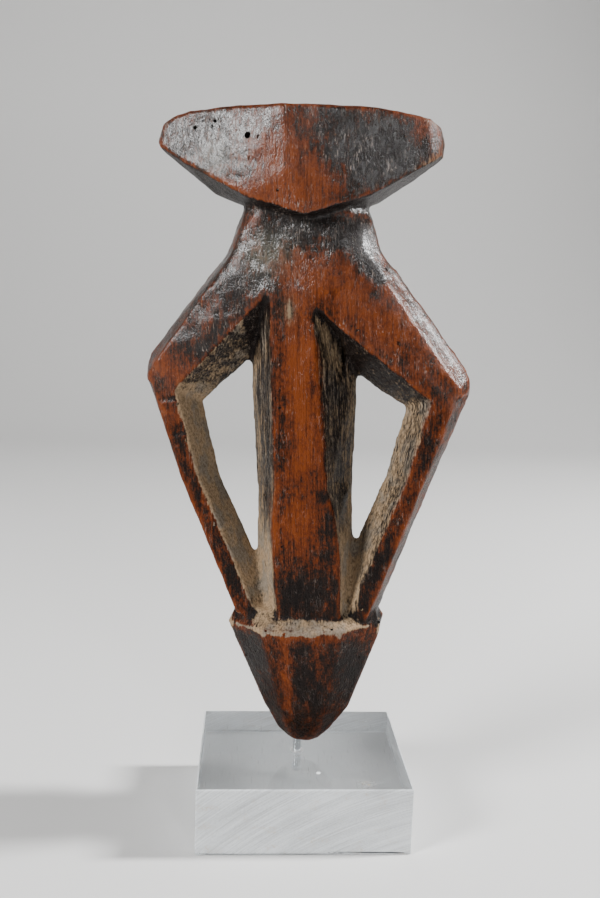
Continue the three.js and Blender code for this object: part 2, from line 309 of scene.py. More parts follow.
# %% Round the edges
KEEP_SIZE = 1.04
EDGE_STRENGTH, CHEST_STRENGTH, LIMB_STRENGTH = 0.55, 0.5, 0.5
EDGE_PASSES, CHEST_PASSES, LIMB_PASSES = 14, 70, 8
pairs = edge_pairs(doll.data)
points = sharpen_armpit(ease_shoulder(mesh_points(doll.data)))
x, y, z = doll_coordinates(points).T
on_ledge = soft_step(z, 33.0, 36.0) * (1 - soft_step(z, 45.0, 49.0))
on_jaw = soft_step(z, 151.0, 154.0) * (1 - soft_step(z, 160.0, 176.0)) * soft_step(-y, 4.0, 9.0)
on_head_end = soft_step(x, 36.0, 40.0) * (z > 160)
on_tip = 1 - soft_step(z, 4.0, 9.0)
strength = EDGE_STRENGTH * (1 - 0.86 * on_ledge) * (1 - 0.6 * on_jaw) * (1 - 0.8 * on_head_end)
strength *= 1 - 0.7 * on_tip
points = rub(points, pairs, strength, EDGE_PASSES, swell=KEEP_SIZE)
between_notches = soft_step(z, 118.0, 126.0) * (np.abs(x + 0.5) < 4.5)
on_chest = np.maximum(soft_step(z, 135.0, 139.0), between_notches) * (1 - soft_step(z, 147.0, 154.0))
points = rub(points, pairs, CHEST_STRENGTH * on_chest * (np.abs(x) < 26), CHEST_PASSES)
on_torso = soft_step(z, 46.0, 52.0) * (1 - soft_step(z, 124.0, 132.0)) * (np.abs(x) < 17)
on_arms = soft_step(z, 50.0, 60.0) * (1 - soft_step(z, 120.0, 130.0)) * (np.abs(x) > 18)
points = rub(points, pairs, LIMB_STRENGTH * np.maximum(on_torso, on_arms), LIMB_PASSES, swell=KEEP_SIZE)
move_points(doll.data, points)
print("rubbed", len(points), "points")

# %% [markdown]
# ## Cuts that are in one place only
# Some marks belong to this doll alone: a nick in the left forearm, the crease in the crook of the arm, three
# short cuts on the chest, the chip at the right end of the ledge, a hollow in the head's right end, and the
# worn end grain at the right elbow. Each is a dent with a place, a length, a width and a depth, pressed in
# along the surface's own direction.

# %% Press in the single marks
MARKS = [  # place across and up, half-length, half-width, tilt in degrees, depth
    (-34.8, 94.4, 2.6, 0.45, 10, 0.5),
    (-37.4, 104.4, 3.2, 0.6, 4, 0.5),
    (-34.8, 96.6, 1.6, 0.8, 70, 0.5),
    (5.0, 147.0, 3.1, 0.45, 2, 0.42),
    (4.6, 145.0, 3.4, 0.45, -3, 0.4),
    (4.8, 143.2, 2.6, 0.42, 3, 0.34),
    (-14.5, 168.2, 3.6, 2.4, 20, 0.28),
    (-16.2, 164.2, 2.6, 1.5, -15, 0.35),
    (8.2, 178.0, 7.0, 3.0, 30, 0.22),
    (25.0, 172.5, 5.0, 3.0, 60, 0.25),
    (-24.0, 140.5, 6.5, 2.6, 50, 0.25),
    (-31.0, 127.0, 5.0, 2.4, 48, 0.22),
    (17.5, 136.0, 6.0, 3.2, -52, 0.2),
    (30.5, 118.5, 5.5, 2.6, -45, 0.2),
    (1.0, 64.0, 6.0, 3.4, 85, 0.2),
    (-1.5, 98.0, 9.0, 3.0, 88, 0.18),
    (-5.0, 24.0, 7.0, 2.4, 75, 0.28),
    (6.0, 22.0, 8.0, 2.6, -72, 0.25),
]
points = mesh_points(doll.data)
normals = mesh_normals(doll.data)
x, y, z = doll_coordinates(points).T
facing = doll_facing(normals)
press = np.zeros(len(points))
for at_x, at_z, length, width, tilt, depth in MARKS:
    along = Vector((math.cos(math.radians(tilt)), math.sin(math.radians(tilt))))
    run = (x - at_x) * along.x + (z - at_z) * along.y
    rise = (z - at_z) * along.x - (x - at_x) * along.y
    press += depth * np.exp(-((run / length) ** 4) - (rise / width) ** 2) * (facing[:, 1] < -0.1)
LEDGE_CHIP_DEPTH, END_HOLLOW_DEPTH, RIDGE_DEPTH = 1.25, 0.7, 0.16
press += LEDGE_CHIP_DEPTH * (spot(x, z, 23.4, 39.6, 2.6, 1.9) * soft_step(-y, -4.0, 2.0))
press += END_HOLLOW_DEPTH * (np.exp(-((z - 173.5) / 3.6) ** 2 - (y / 2.6) ** 2) * (x > 34))
press += RIDGE_DEPTH * (np.sin(x * 5.2 + y * 3.0) * spot(x, z, 46.4, 105.0, 2.4, 4.6))
points -= normals * (press * MM)[:, None]
move_points(doll.data, points)
print("deepest mark:", round(float(press.max()), 2), "mm")

# %% [markdown]
# ## The tool's marks all over
# Between those marks the whole surface keeps the shallow facets that the blade left, a slight hand-made
# ripple and the lift of the grain. They follow one rule everywhere, so Geometry Nodes make them: each point
# moves along its normal by the sum of a cell pattern, for the facets, and two noises. A value stored on the
# points, tooled, makes the marks shallower on the cone and on the head. The same tree then scatters pits as
# small balls, more of them where the value pitted is high, and cuts them out of the wood.

# %% Tools for node trees
def add(tree, kind, links=None, **settings):
    """Adds a node, sets its properties, and gives its inputs values or other nodes' outputs."""
    made = tree.nodes.new(kind)
    for name, value in settings.items():
        setattr(made, name, value)
    for key, value in (links or {}).items():
        if isinstance(value, bpy.types.NodeSocket):
            tree.links.new(value, made.inputs[key])
        else:
            made.inputs[key].default_value = value
    return made


def maths(tree, operation, first, second=0.0, third=0.0):
    return add(tree, "ShaderNodeMath", {0: first, 1: second, 2: third}, operation=operation).outputs[0]


def new_geometry_tree(name, sizes):
    """A Geometry Nodes tree with a geometry in and out, and a named input for each size."""
    tree = bpy.data.node_groups.new(name, "GeometryNodeTree")
    tree.interface.new_socket("Geometry", in_out="INPUT", socket_type="NodeSocketGeometry")
    for size, (kind, value) in sizes.items():
        socket = tree.interface.new_socket(size, in_out="INPUT", socket_type=kind)
        if value is not None:
            socket.default_value = value
    tree.interface.new_socket("Geometry", in_out="OUTPUT", socket_type="NodeSocketGeometry")
    return tree, tree.nodes.new("NodeGroupInput").outputs


def use_tree(piece, tree, **values):
    """Puts the tree on a piece and sets its inputs by their identifiers, before it is first worked out."""
    change = piece.modifiers.new(tree.name, "NODES")
    change.node_group = tree
    known = {item.name: item.identifier for item in tree.interface.items_tree if item.in_out == "INPUT"}
    for name, value in values.items():
        change[known[name.replace("_", " ")]] = value


def random_vector(tree, low, high, seed):
    limits = {0: low, 1: high, "Seed": seed}
    return add(tree, "FunctionNodeRandomValue", limits, data_type="FLOAT_VECTOR").outputs[0]


def ball(tree, radius):
    return add(tree, "GeometryNodeMeshIcoSphere", {"Radius": radius, "Subdivisions": 2}).outputs[0]


def stored_on_points(tree, name):
    return add(tree, "GeometryNodeInputNamedAttribute", {"Name": name}, data_type="FLOAT").outputs[0]


def cut_out(tree, body, spots, finish, **shape):
    """Ends a tree: sets a cutter at each spot, cuts them all out of the body and gives it its finish."""
    cutters = add(tree, "GeometryNodeInstanceOnPoints", {"Points": spots, **shape}).outputs[0]
    cutters = add(tree, "GeometryNodeRealizeInstances", {"Geometry": cutters}).outputs[0]
    cut = add(tree, "GeometryNodeMeshBoolean", operation="DIFFERENCE", solver="MANIFOLD")
    tree.links.new(body, cut.inputs["Mesh 1"])
    tree.links.new(cutters, cut.inputs["Mesh 2"])
    real = add(tree, "GeometryNodeRealizeInstances", {"Geometry": cut.outputs["Mesh"]}).outputs[0]
    finished = add(tree, "GeometryNodeSetMaterial", {"Geometry": real, "Material": finish}).outputs[0]
    tree.links.new(finished, tree.nodes.new("NodeGroupOutput").inputs[0])


# %% Build the carver's tree
def carver_tree():
    tree, given = new_geometry_tree("carver", {
        "Facet size": ("NodeSocketFloat", 0.009),
        "Facet depth": ("NodeSocketFloat", 0.0002),
        "Ripple size": ("NodeSocketFloat", 0.005),
        "Ripple depth": ("NodeSocketFloat", 0.0002),
        "Lift depth": ("NodeSocketFloat", 0.00005),
        "Pits per area": ("NodeSocketFloat", 20000.0),
        "Pit radius": ("NodeSocketFloat", 0.0004),
        "Wood": ("NodeSocketMaterial", None),
    })
    place = add(tree, "GeometryNodeInputPosition").outputs[0]
    normal = add(tree, "GeometryNodeInputNormal").outputs[0]
    facets = add(tree, "ShaderNodeTexVoronoi", {
        "Vector": place, "Scale": maths(tree, "DIVIDE", 1.0, given["Facet size"]), "Smoothness": 0.35,
    }, feature="SMOOTH_F1").outputs["Distance"]
    ripple = add(tree, "ShaderNodeTexNoise", {
        "Vector": place, "Scale": maths(tree, "DIVIDE", 1.0, given["Ripple size"]), "Detail": 2.0,
    }).outputs["Fac"]
    stretched = add(tree, "ShaderNodeVectorMath", {0: place, 1: (900.0, 900.0, 60.0)}, operation="MULTIPLY")
    lift = add(tree, "ShaderNodeTexNoise", {"Vector": stretched.outputs[0], "Scale": 1.0, "Detail": 2.0})
    height = maths(tree, "MULTIPLY", maths(tree, "SUBTRACT", facets, 0.75), given["Facet depth"])
    for part, depth in ((ripple, "Ripple depth"), (lift.outputs["Fac"], "Lift depth")):
        height = maths(tree, "MULTIPLY_ADD", maths(tree, "SUBTRACT", part, 0.6), given[depth], height)
    height = maths(tree, "MULTIPLY", height, stored_on_points(tree, "tooled"))
    push = add(tree, "ShaderNodeVectorMath", {0: normal, "Scale": height}, operation="SCALE").outputs[0]
    carved = add(tree, "GeometryNodeSetPosition", {"Geometry": given["Geometry"], "Offset": push}).outputs[0]

    spots = add(tree, "GeometryNodeDistributePointsOnFaces", {
        "Mesh": carved,
        "Distance Min": maths(tree, "MULTIPLY", given["Pit radius"], 3.4),
        "Density Max": given["Pits per area"],
        "Density Factor": stored_on_points(tree, "pitted"),
        "Seed": 7,
    }, distribute_method="POISSON")
    size = random_vector(tree, (0.5, 0.5, 0.6), (1.15, 1.15, 1.7), 3)
    pit = ball(tree, given["Pit radius"])
    cut_out(tree, carved, spots.outputs["Points"], given["Wood"], Instance=pit, Scale=size)
    return tree


# %% Carve the surface and drill the pits
wood = bpy.data.materials.new("carved_wood")
x, y, z = doll_coordinates(mesh_points(doll.data)).T
pitted = 0.9 * spot(x, z, -27.0, 180.0, 8.0, 3.4) + 0.35 * spot(x, z, -12.0, 176.0, 10.0, 6.0)
pitted += 0.25 * spot(x, z, 20.0, 174.0, 16.0, 8.0) + 0.16
tooled = 1 - 0.6 * (1 - soft_step(z, 30.0, 38.0)) - 0.3 * soft_step(z, 154.0, 160.0)
for name, values in (("pitted", np.clip(pitted, 0.0, 1.0)), ("tooled", tooled)):
    doll.data.attributes.new(name, "FLOAT", "POINT").data.foreach_set("value", values)
use_tree(doll, carver_tree(), Facet_size=0.0075, Facet_depth=0.00045, Ripple_size=0.0026,
         Ripple_depth=0.00038, Lift_depth=0.0001, Pits_per_area=22000.0, Pit_radius=0.00038, Wood=wood)
settle(doll)
doll.data.materials.clear()
doll.data.materials.append(wood)
print("carved:", len(doll.data.vertices), "points,", triangles(doll), "triangles")

# %% [markdown]
# ## Worm holes and the pin's bore
# Three worm holes stand out in the brow. Each is a ball stretched along the wood's own outward direction,
# which is found by looking at the surface from the front. The pin's bore is drilled again last of all, so
# that nothing rubs or moves its wall.

# %% Bore the worm holes in the brow, and drill the pin's bore
WORM_HOLES = [(-12.6, 174.9, 0.85, 2.4), (-22.2, 179.6, 0.5, 1.4), (-28.2, 178.4, 0.55, 1.2)]
IN_FRONT = -40.0
BELOW_DOLL = 3 * MM
surface = BVHTree.FromObject(doll, bpy.context.evaluated_depsgraph_get())
form = bmesh.new()
for at_x, at_z, wide, deep in WORM_HOLES:
    start = doll_place @ (Vector((at_x, IN_FRONT, at_z)) * MM)
    spot_on, outward, _, _ = surface.ray_cast(start, doll_back)
    longer = Matrix.Diagonal((wide * MM, wide * MM, deep * MM, 1.0))
    lie = (-outward).to_track_quat("Z", "Y").to_matrix().to_4x4()
    bmesh.ops.create_icosphere(form, subdivisions=3, radius=1.0,
                               matrix=Matrix.Translation(spot_on) @ lie @ longer)
join_or_cut(doll, piece_from(form, "worm_holes"), "DIFFERENCE")
drill = pin_rod("drill", PIN_BORE, doll_foot - BELOW_DOLL, TIP_HEIGHT + BORE_DEPTH)
join_or_cut(doll, drill, "DIFFERENCE")
print("bored and drilled:", triangles(doll), "triangles")

# %% [markdown]
# ## Where hands reach and where dust stays
# An old carving isn't one colour. Hands polish what they reach and wear the dark surface through to red
# wood on the edges, while the insides of the windows stay dry, pale and dusty. Two values are measured at
# every point first: how sheltered it is, and how far it sticks out. Shelter is measured by looking out from
# the point in a fan of directions and counting what is blocked.

# %% Measure shelter and edges
blank_tree = BVHTree.FromObject(frame["nodes"]["doll"], bpy.context.evaluated_depsgraph_get())
LOOKS = 12
REACH, CLEAR_OF_SKIN = 34 * MM, 1.1 * MM
ACROSS = (0.31, 0.17, 0.93)
SHELTER_PASSES, EDGE_FINDING_PASSES = 8, 16


def fan(count):
    """Directions spread evenly over a half-ball round +Z, more of them near its middle."""
    turns = np.arange(count) * math.pi * (3.0 - math.sqrt(5.0))
    outward = np.sqrt((np.arange(count) + 0.5) / count) * 0.96
    return np.stack([outward * np.cos(turns), outward * np.sin(turns), np.sqrt(1 - outward**2)], axis=1)


points = mesh_points(doll.data)
normals = mesh_normals(doll.data)
side = np.cross(normals, ACROSS)
side /= np.linalg.norm(side, axis=1)[:, None]
other = np.cross(normals, side)
blocked = np.zeros(len(points))
starts = points + normals * CLEAR_OF_SKIN
for look in fan(LOOKS):
    ways = side * look[0] + other * look[1] + normals * look[2]
    for i in range(len(points)):
        if blank_tree.ray_cast(Vector(starts[i]), Vector(ways[i]), REACH)[0] is not None:
            blocked[i] += 1
pairs = edge_pairs(doll.data)
shelter = blocked / LOOKS
for _ in range(SHELTER_PASSES):
    shelter = neighbour_mean(shelter, pairs)
eased = rub(points, pairs, np.full(len(points), 0.6), EDGE_FINDING_PASSES)
sticking_out = ((points - eased) * normals).sum(axis=1) / MM
print("shelter", [round(float(v), 2) for v in np.percentile(shelter, (5, 50, 95))],
      "edges", [round(float(v), 3) for v in np.percentile(sticking_out, (5, 50, 95))])

# %% [markdown]
# The worn, dark and dusty patches are then laid on as a restorer would map them: each is an oval with a place,
# a width, a height and a strength. Worn patches are where wood shows; a minus sign is where the old dark crust
# has stayed. The undersides of the head and arms are darkened too, which is painted shade. Dust lies in the
# windows and on the ledge; the left arm's inner faces get more of the pale layer than the right ones, which is
# painted light, and a
# pale line along the ledge's rim is a painted highlight. Four values end up on the points for the material to
# read:
# wear with the painted shade, dust with the painted light, film (a grey bloom) and matt, which takes the
# polish off where no hand has rubbed.

# %% Lay on wear, dust and film
WEAR = [  # across, up, half-width, half-height, strength
    (4, 162, 10, 9, 0.5), (-2, 171, 8, 7, 0.2), (-15, 161, 9, 4, 0.3), (33, 175, 4, 4, 0.12),
    (4, 139, 8, 7, 0.42), (14, 132, 9, 7, 0.4), (25, 123, 9, 7, 0.36), (37, 112, 8, 6, 0.2),
    (43, 108, 3, 8, 0.22), (-36, 113, 6, 4, 0.22), (-40, 114, 4, 5, 0.22), (-16, 131, 10, 3, 0.12),
    (0.4, 118, 5.5, 12, 0.5), (1.2, 96, 5.5, 16, 0.5), (0.8, 72, 6, 12, 0.36), (-3, 68, 7, 8, 0.2),
    (-5, 30, 1.7, 9, 0.36), (5, 30, 1.6, 8, 0.3), (0, 37, 16, 2, 0.24), (-4, 18, 1.6, 8, 0.3),
    (-12, 66, 6, 12, 0.1), (31, 94, 3, 10, 0.1), (-38, 100, 3, 5, 0.25), (-6, 172, 8, 9, 0.2),
    (17, 170, 11, 8, -0.36), (26, 166, 9, 7, -0.34), (2, 151, 9, 4, -0.35), (12, 148, 6, 5, -0.3),
    (-17, 135, 9, 7, -0.1), (-29, 121, 9, 5, -0.12), (0.4, 49, 9, 5, -0.32), (1, 79, 4, 4, -0.22),
    (-14, 30, 4, 8, -0.26), (14, 31, 5, 8, -0.26), (1, 18, 3, 9, -0.16), (-30, 176, 8, 5, -0.2),
    (-10, 176, 9, 6, -0.12), (20, 56, 4, 10, -0.2), (-20, 54, 4, 8, -0.16), (30, 85, 3, 8, -0.1),
    (-3.4, 26, 1.3, 12, 0.28), (9, 33, 5, 5, 0.2), (15, 36, 3, 4, 0.25), (6.2, 126, 2.2, 5, -0.5),
    (9, 110, 2.4, 22, -0.34), (-8, 108, 2, 26, -0.3), (9.5, 84, 2.4, 14, -0.2),
]
x, y, z = doll_coordinates(points).T
facing = doll_facing(normals)
wear_and_shade = np.full(len(points), 0.4)
for at_x, at_z, wide, high, strength in WEAR:
    wear_and_shade += strength * spot(x, z, at_x, at_z, wide, high) * soft_step(-facing[:, 1], -0.2, 0.4)
wear_and_shade -= 0.1 * (1 - soft_step(z, 30.0, 40.0))
wear_and_shade += 0.95 * np.clip(sticking_out, 0.0, 0.5)
wear_and_shade -= 0.35 * np.clip(-sticking_out, 0.0, 0.6)
# The undersides of the head and arms are darkened to the crust: painted shade, for the shadow beneath them.
# Hollows and sheltered places keep the crust that hands don't reach.
shaded_underside = soft_step(-facing[:, 2], 0.35, 0.8) * soft_step(z, 100.0, 112.0)
wear_and_shade -= 0.8 * shaded_underside + 0.5 * soft_step(shelter, 0.1, 0.4)

in_window = soft_step(z, 41.5, 43.5) * (1 - soft_step(z, 128.0, 134.0)) * (np.abs(x) < 42)
# The left arm's inner faces, which the lamp on the right reaches, get about twice the pale layer of the right
# arm's: that extra is painted light, the rest is dust.
lit_side_share = np.where(x < 0, 1.5, 0.74)
inner_arm_dust_and_light = lit_side_share * in_window * soft_step(-facing[:, 0] * np.sign(x), 0.15, 0.5) * (np.abs(x) > 15)
torso_side = in_window * soft_step(facing[:, 0] * np.sign(x), 0.45, 0.9) * (np.abs(x) < 18)
ledge_top = soft_step(z, 36.0, 37.5) * (1 - soft_step(z, 43.5, 45.5)) * soft_step(facing[:, 2], 0.36, 0.75)
foot_corner = in_window * (1 - soft_step(z, 54.0, 76.0)) * (np.abs(x) > 6.5) * (np.abs(x) < 17)
foot_corner *= soft_step(shelter, 0.06, 0.2)
dust_and_light = 0.62 * inner_arm_dust_and_light + 0.34 * torso_side + 0.72 * ledge_top + 0.6 * foot_corner
dust_and_light += 0.2 * soft_step(shelter, 0.3, 0.6) * in_window
dust_and_light *= 1 - 0.95 * shaded_underside
dust_and_light = np.clip(dust_and_light, 0.0, 1.0)

# A pale line along the ledge's front rim is a painted highlight, laid on in the dust's colour.
rim_highlight = soft_step(sticking_out, 0.14, 0.26) * soft_step(z, 35.0, 36.2) * (1 - soft_step(z, 40.6, 42.0))
dust_and_light = np.maximum(dust_and_light, 0.9 * rim_highlight * soft_step(-y, -2.0, 2.0))
end_rim = soft_step(sticking_out, 0.1, 0.22) * (x > 33) * (z > 160)
dust_and_light = np.maximum(dust_and_light, 0.34 * end_rim)
dust_and_light = np.maximum(dust_and_light, 0.6 * spot(x, z, -1.8, 129, 1.2, 3.2) * soft_step(-facing[:, 1], 0.3, 0.7))
dust_and_light = np.maximum(dust_and_light, 0.5 * spot(x, z, -9.5, 119, 2.0, 8) * soft_step(-facing[:, 0], 0.1, 0.5))
film = 0.9 * spot(x, z, -8, 144, 6, 5) + 0.8 * spot(x, z, -1.8, 129, 1.6, 3.2)
film += 0.5 * spot(x, z, -22, 170, 5, 5)
film *= soft_step(-facing[:, 1], 0.1, 0.5)

matt = 0.95 * soft_step(-facing[:, 2], 0.1, 0.5) + soft_step(shelter, 0.15, 0.5)
matt += 0.9 * (1 - soft_step(z, 70.0, 125.0)) + 0.9 * (np.abs(x) < 12) * (1 - soft_step(z, 128.0, 138.0))
matt += 0.5 * (x < 3) * (1 - soft_step(z, 163.0, 176.0)) * (z > 152)
matt += 0.85 * soft_step(x, 30.0, 34.0) * (z > 158)
off_edge = edge_distance(x, z)
matt += 0.75 * (1 - soft_step(off_edge, 1.2, 3.6)) * (x > 12) * (z < 154)
matt += 0.65 * soft_step(off_edge, 8.5, 11.5) * (x > 5) * (1 - soft_step(z, 134.0, 144.0))
matt += 0.5 * (x < -12) * (1 - soft_step(z, 136.0, 144.0))

for name, values in (("wear_and_shade", wear_and_shade), ("dust_and_light", dust_and_light), ("film", film), ("matt", matt)):
    store = doll.data.attributes.new(name, "FLOAT", "POINT")
    store.data.foreach_set("value", np.clip(values, 0.0, 1.0))
print("wear_and_shade", round(float(wear_and_shade.mean()), 2), "dust_and_light", round(float(dust_and_light.mean()), 2))

# %% [markdown]
# ## The wood's finish
# Close-grained hardwood, darkened by oil, smoke and handling. Its colour has four layers: brown-black crust,
# red-brown wood, orange wood where it is worn most, and pale dust. The crust also stands in as painted shade
# on the undersides of the head and arms, and the pale layer also holds painted light on the left arm's inner
# faces and a painted highlight along the ledge's rim. Grain runs up the doll, so every noise that belongs to
# the wood is stretched that way. Fine pale scratches lie over the crust. The crust is the glossiest layer and
# the pale layer the dullest, which is why the two break up the highlights. The gloss is a thin coat over the
# wood with a relief of its own, and it is left off where the pale layer lies or the wood is matt.

# %% Tools for writing materials
def new_material(material):
    material.use_nodes = True
    tree = material.node_tree
    tree.nodes.clear()
    surface = tree.nodes.new("ShaderNodeBsdfPrincipled")
    end = tree.nodes.new("ShaderNodeOutputMaterial")
    tree.links.new(surface.outputs[0], end.inputs["Surface"])
    return tree, surface


def between(tree, value, low, high, out_low=0.0, out_high=1.0):
    """A soft step of a value from low to high."""
    return add(tree, "ShaderNodeMapRange", {
        "Value": value, "From Min": low, "From Max": high, "To Min": out_low, "To Max": out_high,
    }, interpolation_type="SMOOTHSTEP").outputs[0]


def blend_colours(tree, share, first, second, mode="MIX"):
    links = {0: share, 6: first, 7: second}
    return add(tree, "ShaderNodeMix", links, data_type="RGBA", blend_type=mode).outputs[2]


def stretch(tree, vector, scale, turn=(0.0, 0.0, 0.0), shift=(0.0, 0.0, 0.0)):
    return add(tree, "ShaderNodeMapping", {
        "Vector": vector, "Scale": scale, "Rotation": turn, "Location": shift,
    }).outputs[0]


def noise_at(tree, vector, scale, detail=3.0, rough=0.55, turn=(0.0, 0.0, 0.0), shift=(0.0, 0.0, 0.0)):
    """Noise with a scale of its own along each axis, in turns per millimetre."""
    place = stretch(tree, vector, scale, turn, shift)
    return add(tree, "ShaderNodeTexNoise", {
        "Vector": place, "Scale": 1.0, "Detail": detail, "Roughness": rough,
    }).outputs["Fac"]


def colour(red, green, blue):
    return (red, green, blue, 1.0)


def millimetres(tree):
    """The place on the piece, in millimetres."""
    return stretch(tree, add(tree, "ShaderNodeTexCoord").outputs["Object"], (1 / MM,) * 3)


def distance_from(tree, place, point):
    return add(tree, "ShaderNodeVectorMath", {0: place, 1: point}, operation="DISTANCE").outputs["Value"]


def highest(tree, first, *others):
    for other in others:
        first = maths(tree, "MAXIMUM", first, other)
    return first


def add_noises(tree, level, weights):
    """Raises or lowers a level by each noise's distance from its own middle, a half, times a weight."""
    for part, weight in weights:
        level = maths(tree, "MULTIPLY_ADD", maths(tree, "SUBTRACT", part, 0.5), weight, level)
    return level


def raise_grain(tree, surface, height, strength, depth, socket="Normal"):
    """Lets a height tilt the light on the finish. The depth is in millimetres."""
    bump = add(tree, "ShaderNodeBump", {"Strength": strength, "Distance": depth * MM, "Height": height})
    tree.links.new(bump.outputs[0], surface.inputs[socket])


# %% Write the wood
# The darkest stops also paint the shade on the undersides of the head and arms.
WEAR_AND_SHADE_COLOURS = [
    (0.22, colour(0.0075, 0.0048, 0.004)),
    (0.40, colour(0.017, 0.0078, 0.0048)),
    (0.52, colour(0.046, 0.0125, 0.0042)),
    (0.66, colour(0.086, 0.0175, 0.0040)),
    (0.95, colour(0.145, 0.0315, 0.0052)),
]
# Dust colours. They also colour the painted light on the left arm's inner faces and the painted highlight on
# the ledge's rim.
DUST_AND_LIGHT = colour(0.36, 0.25, 0.15)
GREY_DUST_AND_LIGHT = colour(0.25, 0.205, 0.155)
FILM = colour(0.10, 0.095, 0.065)
SCRATCH = colour(0.42, 0.34, 0.29)

tree, surface = new_material(wood)
objects_place = add(tree, "ShaderNodeTexCoord").outputs["Object"]
turn = into_doll.to_euler("XYZ")
place = stretch(tree, objects_place, (1 / MM,) * 3, tuple(turn), tuple(into_doll.translation / MM))


def stored(name):
    return add(tree, "ShaderNodeAttribute", attribute_name=name).outputs["Fac"]


wear_and_shade_here, dust_and_light_here, film_here, matt_here = (stored(name) for name in ("wear_and_shade", "dust_and_light", "film", "matt"))
grain = noise_at(tree, place, (1.7, 1.7, 0.06), 4.0)
fine_grain = noise_at(tree, place, (5.0, 5.0, 0.35), 2.0, shift=(7, 3, 1))
mottle = noise_at(tree, place, (0.17, 0.17, 0.11), 4.0, 0.62)
patches = noise_at(tree, place, (0.62, 0.62, 0.34), 4.0, 0.6, shift=(3, 9, 4))
speckle = noise_at(tree, place, (1.9, 1.9, 1.0), 3.0, 0.6, shift=(5, 1, 8))
dabs = noise_at(tree, place, (3.2, 3.2, 1.9), 2.0, 0.6, shift=(2, 6, 3))

wear_and_shade_level = add_noises(tree, wear_and_shade_here, (
    (mottle, 0.95), (patches, 0.95), (speckle, 0.85), (dabs, 0.45), (grain, 0.55), (fine_grain, 0.35),
))
ramp = tree.nodes.new("ShaderNodeValToRGB")
stops = ramp.color_ramp.elements
for _ in range(len(WEAR_AND_SHADE_COLOURS) - len(stops)):
    stops.new(0.5)
for stop, (level_at, shade) in zip(stops, WEAR_AND_SHADE_COLOURS):
    stop.position = level_at
    stop.color = shade
tree.links.new(wear_and_shade_level, ramp.inputs[0])
bare = between(tree, wear_and_shade_level, 0.42, 0.62)
lines = between(tree, grain, 0.36, 0.52, 0.66, 1.0)
skin_colour = blend_colours(tree, 1.0, ramp.outputs[0], lines, "MULTIPLY")

wander = stretch(tree, place, (0.25, 0.25, 0.25))
wander = add(tree, "ShaderNodeTexNoise", {"Vector": wander, "Scale": 1.0}).outputs["Color"]
wavy = {0: wander, 1: (1.1, 1.1, 1.1), 2: place}
wavy = add(tree, "ShaderNodeVectorMath", wavy, operation="MULTIPLY_ADD").outputs[0]
SCRATCH_RUNS = (  # tilt, turns per millimetre along and across
    (0.06, 0.13, 1.5), (-0.4, 0.16, 1.3), (0.75, 0.17, 1.5), (1.5, 0.2, 1.2),
)
scratches = None
for i, (tilt, long, fine) in enumerate(SCRATCH_RUNS):
    shift = (i * 11.0, i * 5.0, i * 3.0)
    streak = noise_at(tree, wavy, (fine, 0.6, long), 1.0, 0.5, (0.0, tilt, 0.0), shift)
    line = between(tree, maths(tree, "ABSOLUTE", maths(tree, "SUBTRACT", streak, 0.5)), 0.016, 0.001)
    gate = noise_at(tree, wavy, (0.5, 0.5, 0.22), 3.0, 0.6, (0.0, tilt, 0.0), shift)
    line = maths(tree, "MULTIPLY", line, between(tree, gate, 0.53, 0.62))
    scratches = line if scratches is None else maths(tree, "MAXIMUM", scratches, line)
where_scratched = noise_at(tree, place, (0.12, 0.12, 0.1), 3.0, shift=(1, 4, 6))
where_scratched = between(tree, where_scratched, 0.4, 0.62, 0.15, 0.85)
scratched = maths(tree, "MULTIPLY", scratches, where_scratched)
high_up = between(tree, add(tree, "ShaderNodeSeparateXYZ", {0: place}).outputs["Z"], 40.0, 150.0, 0.25, 0.62)
scratched = maths(tree, "MULTIPLY", scratched, high_up)
skin_colour = blend_colours(tree, scratched, skin_colour, SCRATCH)

# The pale layer is dust, plus painted light on the left arm's inner faces and a painted highlight on the
# ledge's rim.
dust_and_light_layer = add_noises(tree, dust_and_light_here, ((grain, 1.3), (patches, 0.45), (speckle, 0.5), (fine_grain, 0.5)))
dust_and_light_layer = between(tree, dust_and_light_layer, 0.22, 0.78)
dust_and_light_colour = blend_colours(tree, between(tree, mottle, 0.44, 0.6), DUST_AND_LIGHT, GREY_DUST_AND_LIGHT)
dust_and_light_colour = blend_colours(tree, 1.0, dust_and_light_colour, between(tree, speckle, 0.3, 0.62, 0.55, 1.0), "MULTIPLY")
skin_colour = blend_colours(tree, maths(tree, "MULTIPLY", dust_and_light_layer, 0.92), skin_colour, dust_and_light_colour)
filmed = maths(tree, "MULTIPLY", film_here, between(tree, speckle, 0.35, 0.6, 0.25, 1.0))
skin_colour = blend_colours(tree, maths(tree, "MULTIPLY", filmed, 0.7), skin_colour, FILM)
tree.links.new(skin_colour, surface.inputs["Base Color"])

gloss = between(tree, dabs, 0.35, 0.65, 0.26, 0.42)
dullness = add(tree, "ShaderNodeMix", {0: bare, 2: gloss, 3: 0.44}).outputs[0]
dullness = add(tree, "ShaderNodeMix", {0: dust_and_light_layer, 2: dullness, 3: 0.92}).outputs[0]
dullness = add(tree, "ShaderNodeMix", {0: scratched, 2: dullness, 3: 0.6}).outputs[0]
tree.links.new(dullness, surface.inputs["Roughness"])
surface.inputs["IOR"].default_value = 1.5
dry = highest(tree, dust_and_light_layer, matt_here, maths(tree, "MULTIPLY", bare, 0.55),
              between(tree, patches, 0.44, 0.6, 0.0, 0.62))
polish = add(tree, "ShaderNodeMix", {0: dry, 2: 1.0, 3: 0.0}).outputs[0]
tree.links.new(polish, surface.inputs["Coat Weight"])
surface.inputs["Specular IOR Level"].default_value = 0.09
surface.inputs["Coat Roughness"].default_value = 0.2

